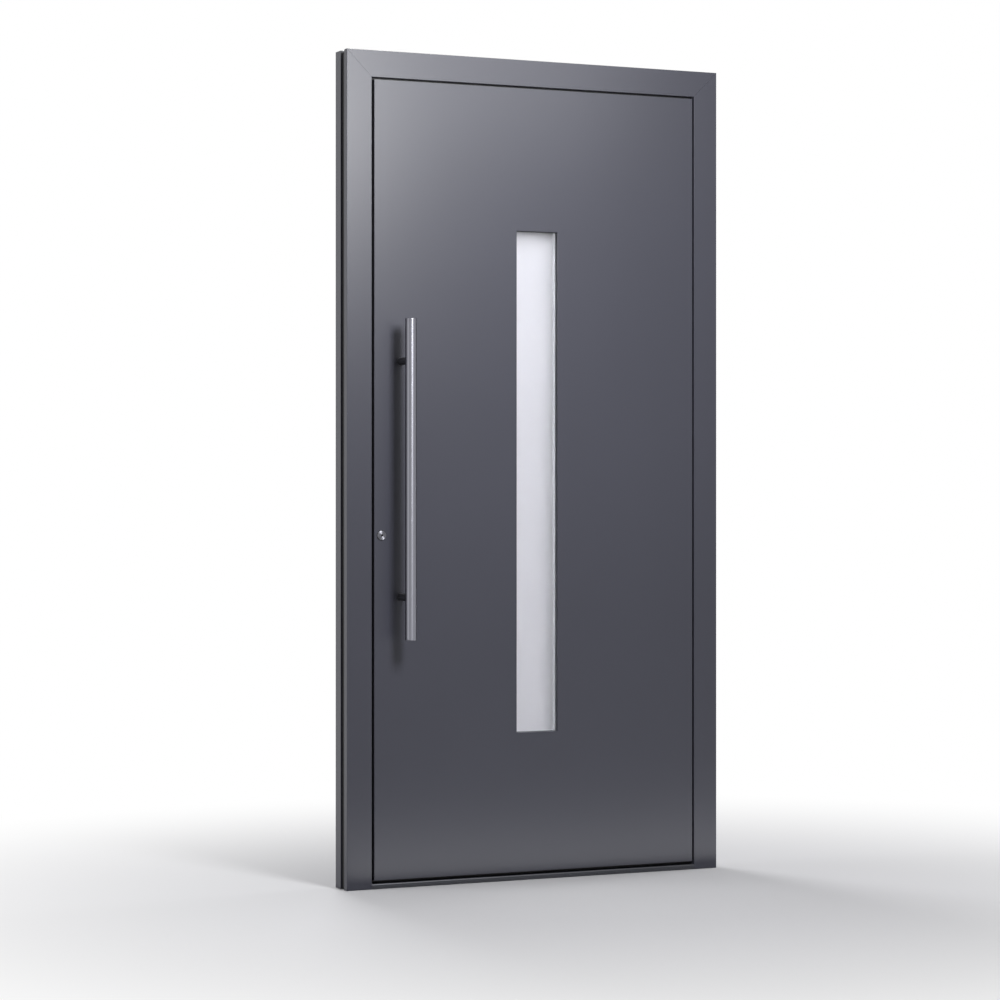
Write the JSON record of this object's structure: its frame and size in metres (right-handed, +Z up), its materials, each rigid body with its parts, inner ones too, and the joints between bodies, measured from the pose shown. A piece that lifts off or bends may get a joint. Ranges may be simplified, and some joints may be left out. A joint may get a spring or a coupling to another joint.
{
  "type": "aluminium front door",
  "caption": "Flush aluminium front door in its frame, with a narrow vertical light slot, a long bar pull handle outside and a lever inside; opens inwards.",
  "frame": {"origin": "on the ground under the middle of the threshold, halfway through the frame's depth", "axes": "+X along the wall towards the hinge side as seen from outside, +Y from outside to inside, +Z up"},
  "size_m": [1.1, 0.2321, 2.2],
  "materials": {
    "anthracite_paint": "fine textured powder coat, satin",
    "dark_anodised": "dark anodised",
    "mill_aluminium": "satin anodised",
    "polyamide": "matt black",
    "seal_rubber": "matt black",
    "brushed_steel": "brushed stainless steel",
    "clear_glass": "clear float glass",
    "satin_glass": "satin etched glass",
    "spacer_grey": "light grey, matt",
    "core_foam": "rigid foam"
  },
  "bodies": {
    "frame": {"lock_jamb_outer": "anthracite_paint", "lock_jamb_break": "polyamide", "lock_jamb_inner": "anthracite_paint", "head_outer": "anthracite_paint", "head_break": "polyamide", "head_inner": "anthracite_paint", "hinge_jamb_outer": "anthracite_paint", "hinge_jamb_break": "polyamide", "hinge_jamb_inner": "anthracite_paint", "threshold_outer": "dark_anodised", "threshold_break": "polyamide", "threshold_inner": "mill_aluminium", "frame_seal": "seal_rubber", "lower_keep": "brushed_steel", "main_keep": "brushed_steel", "upper_keep": "brushed_steel", "lower_hinge_frame_half": "anthracite_paint", "middle_hinge_frame_half": "anthracite_paint", "upper_hinge_frame_half": "anthracite_paint"},
    "door_leaf": {"lower_hinge_leaf_half": "anthracite_paint", "middle_hinge_leaf_half": "anthracite_paint", "upper_hinge_leaf_half": "anthracite_paint", "outer_sheet": "anthracite_paint", "inner_sheet": "anthracite_paint", "lock_stile": "anthracite_paint", "hinge_stile": "anthracite_paint", "top_rail": "anthracite_paint", "bottom_rail": "anthracite_paint", "leaf_break": "polyamide", "insulating_core": "core_foam", "outer_pane": "clear_glass", "middle_pane": "satin_glass", "inner_pane": "clear_glass", "outer_spacer": "spacer_grey", "inner_spacer": "spacer_grey", "glazing_bead": "anthracite_paint", "pull_bar": "brushed_steel", "lower_post": "brushed_steel", "upper_post": "brushed_steel", "lock_collar": "brushed_steel", "lock_cylinder": "brushed_steel", "cylinder_rose": "brushed_steel", "lever_rose": "brushed_steel", "lever_handle": "brushed_steel", "lock_faceplate": "brushed_steel"}
  },
  "joints": [
    {"name": "leaf_swing", "type": "hinge", "parent": "frame", "child": "door_leaf", "pos_m": [0.497, 0.052, 1.1], "axis": [0, 0, -1], "range_deg": [0, 100]}
  ]
}
